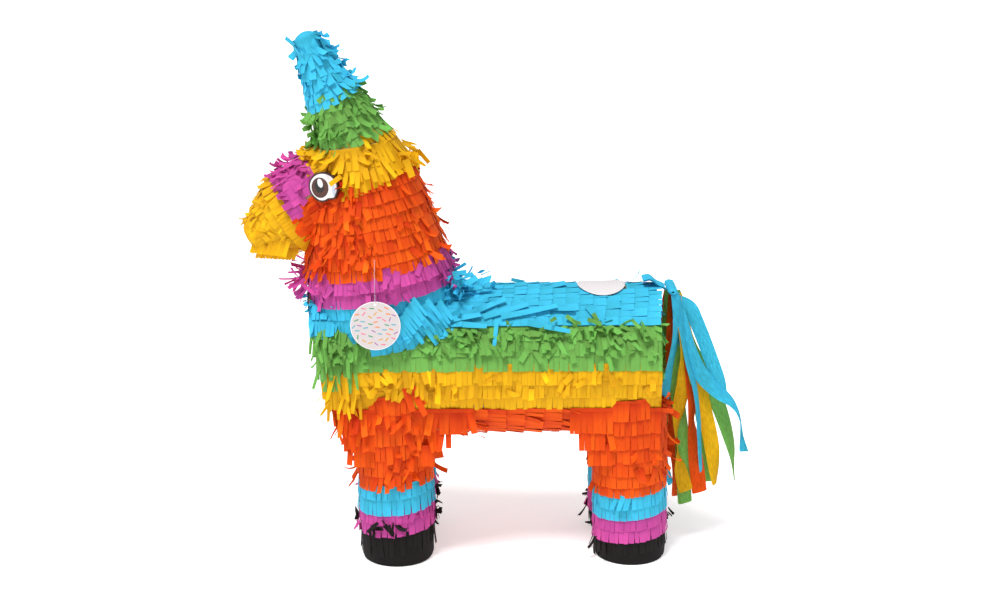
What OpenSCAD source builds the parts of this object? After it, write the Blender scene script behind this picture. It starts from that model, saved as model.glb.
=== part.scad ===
// Donkey pinata: card tubes and cones covered with rows of crepe paper fringe.
// Frame: origin on the floor, midway between the muzzle and the tail's end,
// +Z up, head towards -X, the side with the swing tag towards -Y.

/* [Body] */
// Radius of the body tube, card only
body_r = 76; // [60:1:95]
// Height of the body tube's centre line
body_z = 205; // [160:1:240]
// X of the rump end of the body tube
rump_x = 161; // [130:1:190]
// X of the chest end of the body tube at its centre line
chest_x = -179; // [-200:1:-150]
// Lean of the chest panel, its top edge forward
chest_lean = 14; // [0:1:25]
// Thickness of the card
card = 2.5; // [1.5:0.1:4]
// Depth of the crepe fringe on the body
fringe = 4; // [2:0.5:6]

/* [Colour bands] */
// Height where the blue back meets the green
blue_z = 257; // [230:1:270]
// Height where the green meets the yellow
green_z = 216; // [200:1:230]
// Height where the yellow meets the orange belly
yellow_z = 173; // [150:1:190]

/* [Neck and head] */
// Radius of the neck where it stands on the body
neck_r = 74; // [60:1:75]
// Radius where the neck ends and the head begins
jaw_r = 60.5; // [50:0.5:66]
// Radius of the head's top, under the ear
crown_r = 40.5; // [30:0.5:50]
// Forward lean of the neck
neck_lean = 9.2; // [0:0.2:20]

/* [Ear] */
// Radius of the ear's base
ear_r = 38.5; // [30:0.5:46]
// Radius of the ear's top, under its round tip
ear_top_r = 12.5; // [8:0.5:18]
// Length of the ear from its base to the tip piece
ear_len = 112; // [80:1:140]
// Forward lean of the ear
ear_lean = 24; // [0:1:35]

/* [Muzzle] */
// Radius of the muzzle at its root
muzzle_r = 43; // [30:1:48]
// Radius of the muzzle's end
muzzle_end_r = 16; // [10:1:24]
// Length of the muzzle's tapered part
muzzle_len = 50; // [35:1:70]
// Downward slope of the muzzle
muzzle_drop = 34; // [15:1:45]

/* [Legs] */
// Radius of a leg tube
leg_r = 35; // [28:0.5:38]
// Half the distance between the centres of a left and a right leg
leg_y = 38; // [34:0.5:45]
// X of the front legs' centres
front_x = -108; // [-130:1:-90]
// X of the hind legs' centres
hind_x = 137; // [110:1:150]
// Depth of the crepe fringe on the legs
leg_fringe = 2.6; // [1.5:0.1:3]
// Top of the black hoof band
hoof_z = 34; // [20:1:45]
// Top of the magenta band
sock_z = 60; // [45:1:75]
// Top of the light blue band
cuff_z = 87; // [70:1:110]

/* [Filling hole] */
// X of the filling hole's centre, on the back
fill_x = 105; // [60:1:120]
// Radius of the cut-out card flap
flap_r = 21; // [15:0.5:30]
// Radius of the round sticker that holds the flap shut
sticker_r = 25; // [20:0.5:34]
// Gap round the flap
flap_gap = 0.6; // [0.4:0.1:1.5]

/* [Swing tag] */
// Radius of the round card tag
tag_r = 25; // [15:0.5:35]
// Length of the clear fastener that the tag hangs on
tag_drop = 42; // [20:1:60]

/* [Tail] */
// Width of one streamer
streamer_w = 15; // [8:1:22]
// Height of the point that the streamers hang from
tail_z = 282; // [260:1:290]

/* [Hidden] */
$fn = 96;
e = 0.01;
skin_r = body_r + fringe;
neck_x = -127.5;
neck_z = 314;
head_s = 67;
crown_s = 124;
ear_x = -146;
ear_z = 430;
muzzle_x = -214;
muzzle_z = 361;
foot_t = 3;
eye_r = 18;
eye_h = 30;
bead_r = 0.7;
tag_x = -125.5;
tag_pin_z = 330;
tag_pin_y = -79.5;
tag_y = -86.5;
tail_x = 178;
fill_turn = 2.5;
legs = [[front_x, -leg_y], [front_x, leg_y], [hind_x, -leg_y], [hind_x, leg_y]];

// ---- shared shapes

// Local frame of the chest panel: X points into the body
module chest_frame() {
  translate([chest_x, 0, body_z]) rotate([0, -chest_lean, 0]) children();
}

// A cylinder along the body's centre line
module body_rod(r, x0, x1) {
  translate([x0, 0, body_z]) rotate([0, 90, 0]) cylinder(r = r, h = x1 - x0);
}

// The body as a solid of radius r, with both ends moved out by grow
module body_solid(r, grow) {
  intersection() {
    body_rod(r, -270, rump_x + grow);
    chest_frame() translate([-grow, -150, -200]) cube([600, 300, 400]);
  }
}

// Local frame of the neck: Z runs up its centre line
module neck_frame() {
  translate([neck_x, 0, neck_z]) rotate([0, -neck_lean, 0]) children();
}

// Radius of the neck and head at a distance s along the centre line
function neck_at(s) =
  s < -12 ? neck_r :
  s < head_s ? neck_r + (jaw_r - neck_r) * (s + 12) / (head_s + 12) :
  s < 104 ? jaw_r + (49 - jaw_r) * (s - head_s) / (104 - head_s) :
  49 + (crown_r - 49) * (s - 104) / (crown_s - 104);

neck_stops = [-110, -12, head_s, 104, crown_s];

// A ring along the neck between distances s0 and s1, its surfaces at in and out from the card's face
module neck_ring(s0, s1, in, out) {
  s = concat([s0], [for (v = neck_stops) if (v > s0 && v < s1) v], [s1]);
  n = len(s);
  neck_frame() rotate_extrude()
    polygon(concat(
      [for (v = s) [neck_at(v) + out, v]],
      [for (i = [n - 1:-1:0]) [neck_at(s[i]) + in, s[i]]]
    ));
}

// The neck and head filled in, its surface grow outside the card
module neck_solid(grow) {
  s = neck_stops;
  neck_frame() rotate_extrude()
    polygon(concat([[0, s[0]]], [for (v = s) [neck_at(v) + grow, v]], [[0, crown_s]]));
}

// Local frame of the ear
module ear_frame() {
  translate([ear_x, 0, ear_z]) rotate([0, -ear_lean, 0]) children();
}

function ear_at(s) = s < 0 ? ear_r : ear_r + (ear_top_r - ear_r) * s / ear_len;

// A ring along the ear
module ear_ring(s0, s1, in, out) {
  s = s0 < 0 && s1 > 0 ? [s0, 0, s1] : [s0, s1];
  n = len(s);
  ear_frame() rotate_extrude()
    polygon(concat(
      [for (v = s) [ear_at(v) + out, v]],
      [for (i = [n - 1:-1:0]) [ear_at(s[i]) + in, s[i]]]
    ));
}

// The ear filled in, its surface grow outside the card
module ear_solid(grow) {
  ear_frame() rotate_extrude()
    polygon([[0, -40], [ear_r + grow, -40], [ear_r + grow, 0], [ear_top_r + grow, ear_len], [0, ear_len]]);
}

// Local frame of the muzzle: Z points out of its end
module muzzle_frame() {
  translate([muzzle_x, 0, muzzle_z]) rotate([0, -90 - muzzle_drop, 0]) children();
}

function muzzle_at(s) = s < 0 ? muzzle_r : muzzle_r + (muzzle_end_r - muzzle_r) * s / muzzle_len;

// A ring along the muzzle, from inside the head to its end
module muzzle_ring(s0, s1, in, out) {
  s = s0 < 0 && s1 > 0 ? [s0, 0, s1] : [s0, s1];
  n = len(s);
  muzzle_frame() rotate_extrude()
    polygon(concat(
      [for (v = s) [muzzle_at(v) + out, v]],
      [for (i = [n - 1:-1:0]) [muzzle_at(s[i]) + in, s[i]]]
    ));
}

// Everything between two heights
module slab(z0, z1) {
  translate([-300, -150, z0]) cube([600, 300, z1 - z0]);
}

// ---- card pieces

// Turns the filling hole's shapes round the body to where the sticker sits
module fill_frame() {
  translate([fill_x, 0, body_z]) rotate([fill_turn, 0, 0]) children();
}

module fill_hole(r) {
  fill_frame() translate([0, 0, body_r - 12]) cylinder(r = r, h = 40);
}

// A patch of the body's curved surface between two radii, round in plan
module fill_disc(r, r0, r1) {
  intersection() {
    fill_frame() translate([0, 0, body_r - 14]) cylinder(r = r, h = 40);
    difference() {
      body_rod(r1, fill_x - 40, fill_x + 40);
      body_rod(r0, fill_x - 41, fill_x + 41);
    }
  }
}

module barrel_shell() {
  color("#b08d62") difference() {
    body_solid(body_r, -card);
    body_rod(body_r - card, -300, 300);
    fill_hole(flap_r + flap_gap);
  }
}

module chest_panel() {
  color("#b08d62") intersection() {
    body_rod(body_r, -270, 0);
    chest_frame() translate([0, -150, -200]) cube([card, 300, 400]);
  }
}

module rump_panel() {
  color("#b08d62") body_rod(body_r, rump_x - card, rump_x);
}

module neck_shell() {
  color("#b08d62") difference() {
    neck_ring(-110, head_s, -2, 0);
    body_rod(body_r, -300, 100);
    slab(0, body_z);
  }
}

module head_shell() {
  color("#b08d62") difference() {
    neck_ring(head_s, crown_s, -2, 0);
    muzzle_frame() translate([0, 0, -80]) cylinder(r = muzzle_r - 2, h = 110);
  }
}

module ear_shell() {
  color("#b08d62") difference() {
    ear_ring(-30, ear_len, -1.6, 0);
    neck_solid(0);
  }
}

module ear_tip() {
  color("#5cc8e8") ear_frame() translate([0, 0, ear_len]) difference() {
    sphere(r = ear_top_r + 4);
    translate([-30, -30, -60]) cube([60, 60, 60]);
  }
}

module muzzle_shell() {
  color("#b08d62") difference() {
    muzzle_ring(-60, muzzle_len - 2, -2, 0);
    neck_solid(0);
  }
}

module muzzle_cap() {
  color("#f2c81e") muzzle_frame() translate([0, 0, muzzle_len - 2])
    cylinder(r = muzzle_end_r + 1, h = 2);
}

// One leg: a card tube cut at the top to sit against the body
module leg_tube(at) {
  color("#b08d62") difference() {
    translate([at[0], at[1], foot_t]) cylinder(r = leg_r, h = 200 - foot_t);
    translate([at[0], at[1], foot_t - 1]) cylinder(r = leg_r - 2, h = 210);
    body_rod(body_r, -250, 250);
    slab(body_z, 300);
  }
}

module foot_disc(at) {
  color("#2a2524") translate([at[0], at[1], 0]) cylinder(r = leg_r, h = foot_t);
}

// ---- crepe fringe on the body

// The fringe all over the body tube and its ends, without the places of the neck and legs
module body_skin() {
  difference() {
    body_solid(skin_r, fringe);
    body_solid(body_r, 0);
    difference() {
      union() {
        neck_solid(0);
        for (at = legs) translate([at[0], at[1], 0]) cylinder(r = leg_r, h = body_z);
      }
      body_rod(body_r, -300, 300);
    }
  }
}

// The fringe on the lower neck, outside the body's fringe
module neck_skirt(z0, z1) {
  intersection() {
    difference() {
      neck_ring(-100, -28, 0, fringe);
      body_rod(skin_r, -300, 100);
    }
    slab(z0, z1);
  }
}

module back_blue() {
  color("#46c3e6") difference() {
    intersection() {
      body_skin();
      slab(blue_z, 320);
    }
    fill_hole(flap_r + flap_gap);
  }
}

module body_green() {
  color("#64be5a") union() {
    intersection() {
      body_skin();
      slab(green_z, blue_z);
    }
    neck_skirt(green_z, 246);
  }
}

module body_yellow() {
  color("#fac81e") intersection() {
    body_skin();
    slab(yellow_z, green_z);
  }
}

module belly_orange() {
  color("#f05a14") intersection() {
    body_skin();
    slab(100, yellow_z);
  }
}

// ---- crepe fringe on the neck, head, muzzle and ear

module neck_blue() {
  color("#46c3e6") neck_skirt(246, 320);
}

module neck_magenta() {
  color("#d74ba5") difference() {
    neck_ring(-28, 0, 0, fringe);
    body_rod(skin_r, -300, 100);
  }
}

module neck_orange() {
  color("#f05a14") difference() {
    neck_ring(0, 78, 0, fringe);
    muzzle_frame() translate([0, 0, -80]) cylinder(r = muzzle_r, h = 110);
  }
}

module head_yellow() {
  color("#fac81e") difference() {
    neck_ring(78, crown_s, 0, fringe);
    ear_solid(0);
    muzzle_frame() translate([0, 0, -80]) cylinder(r = muzzle_r, h = 110);
  }
}

module muzzle_skin(s0, s1) {
  difference() {
    muzzle_ring(s0, s1, 0, 3);
    neck_solid(fringe);
  }
}

module nose_magenta() {
  color("#d74ba5") difference() {
    intersection() {
      muzzle_skin(-60, 16);
      slab(352, 500);
    }
    ear_solid(3.5);
    eye_post(-1);
    eye_post(1);
  }
}

module muzzle_yellow() {
  color("#fac81e") union() {
    muzzle_skin(16, muzzle_len - 3);
    intersection() {
      muzzle_skin(-60, 16);
      slab(250, 352);
    }
  }
}

module ear_green() {
  color("#64be5a") difference() {
    ear_ring(-24, 46, 0, 3.5);
    neck_solid(fringe);
  }
}

module ear_blue() {
  color("#46c3e6") ear_ring(46, ear_len, 0, 3.5);
}

// ---- crepe fringe on the legs

// A band of fringe round one leg, its top cut to the body's fringe
module leg_band(at, z0, z1) {
  difference() {
    translate([at[0], at[1], z0]) cylinder(r = leg_r + leg_fringe, h = z1 - z0);
    translate([at[0], at[1], z0 - 1]) cylinder(r = leg_r, h = z1 - z0 + 2);
    body_rod(skin_r, -250, 250);
  }
}

module leg_orange(at) {
  color("#f05a14") leg_band(at, cuff_z, 190);
}

module leg_blue(at) {
  color("#46c3e6") leg_band(at, sock_z, cuff_z);
}

module leg_magenta(at) {
  color("#d74ba5") leg_band(at, hoof_z, sock_z);
}

module leg_black(at) {
  color("#2a2524") leg_band(at, 1.5, hoof_z);
}

// ---- eyes, tag, filling flap and tail

// The oval post that an eye is cut from: a round bar with a flat top and bottom
module eye_post(side) {
  translate([-176, side * 49.5, 398.5]) rotate([side > 0 ? -85 : 85, 0, 0])
    rotate([0, -30, 0]) translate([0, 0, -8]) intersection() {
      cylinder(r = eye_r, h = 9.2);
      translate([-eye_r, -eye_h / 2, -1]) cube([2 * eye_r, eye_h, 12]);
    }
}

// A printed card eye on one side, its back shaped to the fringe and the muzzle behind it
module eye(side) {
  color("white") difference() {
    eye_post(side);
    neck_solid(fringe);
    muzzle_frame() translate([0, 0, -80]) cylinder(r = muzzle_r, h = 80);
  }
}

// Clear nylon fastener: a bar inside the fringe, a filament and a small ring at the tag
module tag_fastener() {
  run = tag_pin_z - tag_drop;
  color([0.92, 0.94, 0.96, 0.6]) union() {
    translate([tag_x, tag_pin_y, tag_pin_z]) rotate([90, 0, 0]) cylinder(r = 0.8, h = 3, center = true);
    translate([tag_x, tag_y, run - 1.5]) cylinder(r = 0.5, h = tag_drop + 1.5 - 6);
    translate([tag_x, tag_y, tag_pin_z - 6])
      rotate([-atan((tag_pin_y - tag_y) / 6), 0, 0])
        cylinder(r = 0.5, h = norm([6, tag_pin_y - tag_y]));
    translate([tag_x, tag_y, tag_pin_z - 6]) sphere(r = 0.6);
  }
}

module swing_tag() {
  color("#ebe4e8") difference() {
    translate([tag_x, tag_y, tag_pin_z - tag_drop + 2 - tag_r]) rotate([90, 0, 0])
      cylinder(r = tag_r, h = 0.8, center = true);
    translate([tag_x, tag_y, tag_pin_z - tag_drop - 1.5]) cylinder(r = 0.7, h = 8);
  }
}

module fill_flap() {
  color("#b08d62") fill_disc(flap_r, body_r - card, body_r);
}

module fill_patch() {
  color("#46c3e6") fill_disc(flap_r, body_r, skin_r + 0.3);
}

module fill_sticker() {
  color("#f2f0f2") union() {
    fill_disc(sticker_r, skin_r + 0.3, skin_r + 1);
    // the rolled edge that the flap turns on
    translate([fill_x - 7, 21.9, 283.3]) rotate([0, 90, 0]) cylinder(r = bead_r, h = 14);
  }
}

// The glued crepe tab that carries the tail
module tail_tab() {
  color("#46c3e6") difference() {
    union() {
      translate([rump_x + fringe, -14, tail_z - 2]) cube([8, 28, 4]);
      translate([rump_x + fringe, -14, tail_z - 9]) cube([2.5, 28, 18]);
      translate([rump_x - 14, -14, body_z + skin_r - 5]) cube([19, 28, 7]);
    }
    body_solid(skin_r, fringe);
    translate([tail_x, 0, tail_z]) rotate([90, 0, 0]) cylinder(r = 6.4, h = 60, center = true);
  }
}

// The gathered roll that the streamers are tied into, turning about its own centre line
module tail_knot() {
  color("#46c3e6") translate([tail_x, 0, tail_z]) rotate([90, 0, 0])
    cylinder(r = 6, h = 44, center = true);
}

// One streamer: a flat strip from the knot to a point [x, z], bowed through a middle point
module streamer(y, x0, mid, end) {
  w = streamer_w / 2;
  translate([0, y + 0.5, 0]) rotate([90, 0, 0]) linear_extrude(height = 1)
    difference() {
      polygon([
        [x0 - w * 0.6, tail_z], [x0 + w * 0.6, tail_z], [mid[0] + w, mid[1]], [end[0] + w * 0.8, end[1]],
        [end[0] - w * 0.8, end[1] + 6], [mid[0] - w, mid[1]]
      ]);
      translate([tail_x, tail_z]) circle(r = 6);
    }
}

module tail_blue() {
  color("#46c3e6") union() {
    streamer(-19, 181, [206, 215], [236, 118]);
    streamer(-13, 180, [214, 200], [262, 88]);
    streamer(-7, 180, [178, 170], [172, 44]);
  }
}

module tail_green() {
  color("#64be5a") union() {
    streamer(-16, 180, [205, 200], [230, 70]);
    streamer(5, 177, [190, 180], [192, 42]);
  }
}

module tail_yellow() {
  color("#fac81e") union() {
    streamer(-10, 178, [190, 190], [186, 60]);
    streamer(11, 179, [204, 180], [212, 62]);
  }
}

module tail_orange() {
  color("#f05a14") union() {
    streamer(-4, 178, [198, 180], [202, 48]);
    streamer(8, 180, [182, 160], [180, 60]);
  }
}

module tail_red() {
  color("#b42814") streamer(15, 175, [178, 170], [176, 80]);
}

// ---- one line per node

barrel_shell();
chest_panel();
rump_panel();
neck_shell();
head_shell();
ear_shell();
ear_tip();
muzzle_shell();
muzzle_cap();
leg_tube(legs[0]);  // leg_front_near
leg_tube(legs[1]);  // leg_front_far
leg_tube(legs[2]);  // leg_hind_near
leg_tube(legs[3]);  // leg_hind_far
foot_disc(legs[0]);  // foot_front_near
foot_disc(legs[1]);  // foot_front_far
foot_disc(legs[2]);  // foot_hind_near
foot_disc(legs[3]);  // foot_hind_far
back_blue();
body_green();
body_yellow();
belly_orange();
neck_blue();
neck_magenta();
neck_orange();
head_yellow();
nose_magenta();
muzzle_yellow();
ear_green();
ear_blue();
leg_orange(legs[0]);  // front_near_orange
leg_blue(legs[0]);  // front_near_blue
leg_magenta(legs[0]);  // front_near_magenta
leg_black(legs[0]);  // front_near_black
leg_orange(legs[1]);  // front_far_orange
leg_blue(legs[1]);  // front_far_blue
leg_magenta(legs[1]);  // front_far_magenta
leg_black(legs[1]);  // front_far_black
leg_orange(legs[2]);  // hind_near_orange
leg_blue(legs[2]);  // hind_near_blue
leg_magenta(legs[2]);  // hind_near_magenta
leg_black(legs[2]);  // hind_near_black
leg_orange(legs[3]);  // hind_far_orange
leg_blue(legs[3]);  // hind_far_blue
leg_magenta(legs[3]);  // hind_far_magenta
leg_black(legs[3]);  // hind_far_black
eye(-1);  // eye_near
eye(1);  // eye_far
tag_fastener();
swing_tag();
fill_flap();
fill_patch();
fill_sticker();
tail_tab();
tail_knot();
tail_blue();
tail_green();
tail_yellow();
tail_orange();
tail_red();
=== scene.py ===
"""Looks of a donkey pinata: rows of crepe paper fringe, printed eyes, swing tag, filling sticker and
streamer tail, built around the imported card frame. Lengths are in millimetres until a mesh is made."""
import math

import bmesh
import bpy
import numpy as np
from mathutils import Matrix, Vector


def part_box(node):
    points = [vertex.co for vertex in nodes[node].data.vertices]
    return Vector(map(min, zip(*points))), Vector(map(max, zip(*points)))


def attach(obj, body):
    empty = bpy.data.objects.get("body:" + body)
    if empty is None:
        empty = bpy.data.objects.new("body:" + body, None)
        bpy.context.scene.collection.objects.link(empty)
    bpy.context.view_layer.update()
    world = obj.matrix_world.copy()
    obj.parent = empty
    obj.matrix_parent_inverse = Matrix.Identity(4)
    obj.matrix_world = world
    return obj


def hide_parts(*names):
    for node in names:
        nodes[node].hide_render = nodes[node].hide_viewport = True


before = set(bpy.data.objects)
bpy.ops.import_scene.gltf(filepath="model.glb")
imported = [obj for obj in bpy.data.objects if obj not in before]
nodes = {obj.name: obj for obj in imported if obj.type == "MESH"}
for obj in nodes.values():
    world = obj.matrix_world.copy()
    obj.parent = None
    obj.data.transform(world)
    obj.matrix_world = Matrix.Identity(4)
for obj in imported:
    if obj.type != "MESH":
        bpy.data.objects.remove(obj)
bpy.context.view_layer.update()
rng = np.random.default_rng(20)

# ---- sizes, from the frame where it has them

MM = 0.001


def box(node):
    low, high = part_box(node)
    return np.array(low) / MM, np.array(high) / MM


def middle(node):
    low, high = box(node)
    return (low + high) / 2


barrel_low, barrel_high = box("barrel_shell")
BODY_R = (barrel_high[1] - barrel_low[1]) / 2
BODY_Z = (barrel_high[2] + barrel_low[2]) / 2
RUMP_X = box("rump_panel")[1][0]
CHEST_X = -179.0
CHEST_LEAN = math.radians(14)
BLUE_Z = box("back_blue")[0][2]
GREEN_Z = box("body_green")[0][2]
YELLOW_Z = box("body_yellow")[0][2]
LEG_R = (box("foot_front_near")[1][0] - box("foot_front_near")[0][0]) / 2
LEG_TOP = 166.0
LEG_AT = {
    f"{end}_{side}": middle(f"foot_{end}_{side}")[:2]
    for end in ("front", "hind") for side in ("near", "far")
}
FILL_AT = middle("fill_sticker")[:2]
STICKER_R = (box("fill_sticker")[1][0] - box("fill_sticker")[0][0]) / 2
TAG_AT = middle("swing_tag")
TAG_R = (box("swing_tag")[1][0] - box("swing_tag")[0][0]) / 2
KNOT_AT = middle("tail_knot")

# ---- crepe paper: how wide, how deep and how unruly the cut tabs are

TAB_W = 5.3
TAB_GAP = 0.16
GLUED = 0.9  # height of the glued edge over the card
REACH = 1.3  # length of a tab over the pitch of its rows
TAB_STEPS = 6
SHORTEST_TAB = 2.5
LINE_STEP = 3  # distance between the points of a line that a strip is glued along
TAB_PAINTED_SHADE = (0.80, 0.86, 0.93, 0.98, 1.0, 1.02, 1.03)  # painted shade and light along each tab: darkened at the root, where the row above would shade it, and a little lightened at the tip
FLOOR_GAP = 0.6
LOOSE_Y = 84.0  # tips further out to a side than this are pressed in by LOOSE_PRESS
LOOSE_PRESS = 0.6

# How tabs stray: (neat tabs, added for the wildest), in degrees, or as shares of their length or width.
YAW = (0.7, 9)
RISE = (0.8, 6)
CURL = (2.5, 26)
ROLL = (1.5, 26)
LENGTH_SPREAD = (0.012, 0.11)
SLANT_SPREAD = (0.03, 0.12)
LEAN_TOGETHER = 13
LOOSE_MESS = 0.9

# The strip between a row and the next: (share of the pitch from the row, height under the glued edge).
MARGIN = ((-0.25, 0.1), (0.05, 0.15), (0.5, 0.4), (0.95, 0.65))
# painted shade: the strip under and between the tabs is darkened, where the tabs over it would shade it
MARGIN_PAINTED_SHADE = 0.86
EYE_CLEAR = 0.5  # what tabs leave free round an eye
HOLE_CLEAR = 4  # how far tabs may reach over the edge of the sticker's disc

COLOURS = {
    "blue": (0.050, 0.52, 0.77),
    "green": (0.165, 0.42, 0.082),
    "yellow": (0.80, 0.430, 0.006),
    "orange": (0.78, 0.082, 0.004),
    "magenta": (0.60, 0.075, 0.35),
    "black": (0.012, 0.010, 0.010),
    "red": (0.62, 0.03, 0.012),
}
SIDES = (-1, 1)
NEAR = np.array([0, -1.0, 0])

# ---- materials


def new_material(name):
    material = bpy.data.materials.new(name)
    material.use_nodes = True
    tree = material.node_tree
    return material, tree, tree.nodes["Principled BSDF"]


def set_inputs(node, values):
    for key, value in values.items():
        node.inputs[key].default_value = value


def add_node(tree, kind, inputs=None, **settings):
    node = tree.nodes.new(kind)
    for key, value in settings.items():
        setattr(node, key, value)
    set_inputs(node, inputs or {})
    return node


def wire(tree, *links):
    """Links sockets. Each link is (node, output, node, input)."""
    for source, output, target, entry in links:
        tree.links.new(source.outputs[output], target.inputs[entry])


def crepe_material(name, colour, sheer=0.1, grain=(2.1, 0.16), depth=0.35, contrast=0.21):
    """Dyed crepe: each sheet's own tone times its painted shade, creases in relief whose light and shade are
    also painted into the colour, and light let through. grain is how close the creases lie across and along
    the sheet, and depth is their relief in mm."""
    material, tree, shader = new_material(name)
    lay = add_node(tree, "ShaderNodeUVMap", uv_map="lay")
    stretch = add_node(tree, "ShaderNodeMapping", {"Scale": (*grain, 1)})
    creases = add_node(tree, "ShaderNodeTexNoise", {"Scale": 1.0, "Detail": 3.0, "Roughness": 0.6})
    bump = add_node(tree, "ShaderNodeBump", {"Strength": 0.55, "Distance": depth * MM})
    # each point's own tone times its painted shade, which scales the colour and turns its hue a little
    shade = add_node(tree, "ShaderNodeAttribute", attribute_name="tone_and_painted_shade")
    # painted light and shade: the creases' relief also lightens and darkens the colour, by contrast either
    # way
    crease_light_and_shade = add_node(tree, "ShaderNodeMapRange", {"To Min": 0.99 - contrast, "To Max": 0.99 + contrast})
    both = add_node(tree, "ShaderNodeMath", operation="MULTIPLY")
    hue = add_node(tree, "ShaderNodeMapRange",
                   {"From Min": 0.6, "From Max": 1.4, "To Min": 0.488, "To Max": 0.512})
    dyed = add_node(tree, "ShaderNodeHueSaturation", {"Color": (*colour, 1)})
    through = add_node(tree, "ShaderNodeBsdfTranslucent")
    mix = add_node(tree, "ShaderNodeMixShader", {"Fac": sheer})
    set_inputs(shader, {"Roughness": 0.72, "Specular IOR Level": 0.15})
    wire(tree, (lay, 0, stretch, "Vector"), (stretch, 0, creases, "Vector"), (creases, 0, bump, "Height"),
         (creases, 0, crease_light_and_shade, "Value"), (shade, "Fac", both, 0), (crease_light_and_shade, 0, both, 1),
         (both, 0, dyed, "Value"), (shade, "Fac", hue, "Value"), (hue, 0, dyed, "Hue"),
         (dyed, 0, shader, "Base Color"), (bump, 0, shader, "Normal"),
         (dyed, 0, through, "Color"), (bump, 0, through, "Normal"),
         (shader, 0, mix, 1), (through, 0, mix, 2), (mix, 0, tree.nodes["Material Output"], "Surface"))
    return material


def card_material(name, colour=(0.42, 0.27, 0.14)):
    """Corrugated card: fibres, flecks and faint flutes."""
    material, tree, shader = new_material(name)
    place = add_node(tree, "ShaderNodeTexCoord")
    fibres = add_node(tree, "ShaderNodeTexNoise", {"Scale": 260.0, "Detail": 6.0, "Roughness": 0.7})
    flutes = add_node(tree, "ShaderNodeTexWave", {"Scale": 60.0, "Distortion": 0.4}, bands_direction="Z")
    ramp = add_node(tree, "ShaderNodeValToRGB")
    for end, share in zip(ramp.color_ramp.elements, (0.75, 1.2)):
        end.color = (*[min(c * share, 1) for c in colour], 1)
    relief = add_node(tree, "ShaderNodeMath", operation="ADD")
    bump = add_node(tree, "ShaderNodeBump", {"Strength": 0.35, "Distance": 0.4 * MM})
    set_inputs(shader, {"Roughness": 0.85})
    wire(tree, (place, "Object", fibres, "Vector"), (place, "Object", flutes, "Vector"), (fibres, 0, ramp, 0),
         (ramp, 0, shader, "Base Color"), (fibres, 0, relief, 0), (flutes, "Fac", relief, 1),
         (relief, 0, bump, "Height"), (bump, 0, shader, "Normal"))
    return material


def print_material(name, colour, roughness=0.45):
    """Printed or coated card: even ink with a little mottle and paper tooth."""
    material, tree, shader = new_material(name)
    place = add_node(tree, "ShaderNodeTexCoord")
    tooth = add_node(tree, "ShaderNodeTexNoise", {"Scale": 900.0, "Detail": 4.0})
    mottle = add_node(tree, "ShaderNodeMapRange", {"To Min": 0.95, "To Max": 1.05})
    ink = add_node(tree, "ShaderNodeHueSaturation", {"Color": (*colour, 1)})
    bump = add_node(tree, "ShaderNodeBump", {"Strength": 0.15, "Distance": 0.1 * MM})
    set_inputs(shader, {"Roughness": roughness})
    wire(tree, (place, "Object", tooth, "Vector"), (tooth, 0, mottle, "Value"), (mottle, 0, ink, "Value"),
         (ink, 0, shader, "Base Color"), (tooth, 0, bump, "Height"), (bump, 0, shader, "Normal"))
    return material


def nylon_material():
    """Clear plastic with a slight haze."""
    material, tree, shader = new_material("clear_nylon")
    place = add_node(tree, "ShaderNodeTexCoord")
    haze = add_node(tree, "ShaderNodeTexNoise", {"Scale": 500.0})
    rough = add_node(tree, "ShaderNodeMapRange", {"To Min": 0.12, "To Max": 0.3})
    set_inputs(shader, {"Base Color": (0.93, 0.95, 0.97, 1), "Transmission Weight": 0.9, "IOR": 1.45})
    wire(tree, (place, "Object", haze, "Vector"), (haze, 0, rough, "Value"), (rough, 0, shader, "Roughness"))
    return material


def sticker_material():
    """Coated white paper with faint grey rings, uneven like a light print."""
    material, tree, shader = new_material("sticker_paper")
    lay = add_node(tree, "ShaderNodeUVMap", uv_map="lay")
    rings = add_node(tree, "ShaderNodeTexWave",
                     {"Scale": 0.11, "Distortion": 3.5, "Detail": 2.0, "Detail Scale": 0.4},
                     wave_type="RINGS", rings_direction="Z")
    ramp = add_node(tree, "ShaderNodeValToRGB")
    grey, white = ramp.color_ramp.elements
    grey.color = (0.60, 0.57, 0.58, 1)
    white.color = (0.77, 0.73, 0.74, 1)
    white.position = 0.35
    tooth = add_node(tree, "ShaderNodeTexNoise", {"Scale": 3.0, "Detail": 4.0})
    bump = add_node(tree, "ShaderNodeBump", {"Strength": 0.2, "Distance": 0.1 * MM})
    set_inputs(shader, {"Roughness": 0.4})
    wire(tree, (lay, 0, rings, "Vector"), (lay, 0, tooth, "Vector"), (rings, "Fac", ramp, 0),
         (ramp, 0, shader, "Base Color"), (tooth, 0, bump, "Height"), (bump, 0, shader, "Normal"))
    return material


CREPE = {name: crepe_material(f"crepe_{name}", colour) for name, colour in COLOURS.items()}
# streamers: coarser creases in deeper relief, with stronger painted light and shade on them
STREAMER_CREPE = {
    name: crepe_material(f"streamer_{name}", colour, sheer=0.32, grain=(0.55, 0.13), depth=1.6, contrast=0.5)
    for name, colour in COLOURS.items()
    if name not in ("black", "magenta")
}
CARD = card_material("card")
BLACK_CARD = card_material("card_black", (0.02, 0.018, 0.018))
WHITE_PRINT = print_material("print_white", (0.80, 0.77, 0.76))
STICKER = sticker_material()

# ---- the eyes, placed where the fringe has to leave them clear

EYE_AT = np.array([-176, 49.5, 398.5])
EYE_TURN = math.radians(30)
EYE_TIP = math.radians(5)
EYE_HALF = (17.7, 15.0)

# ---- a mesh of paper sheets


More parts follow.
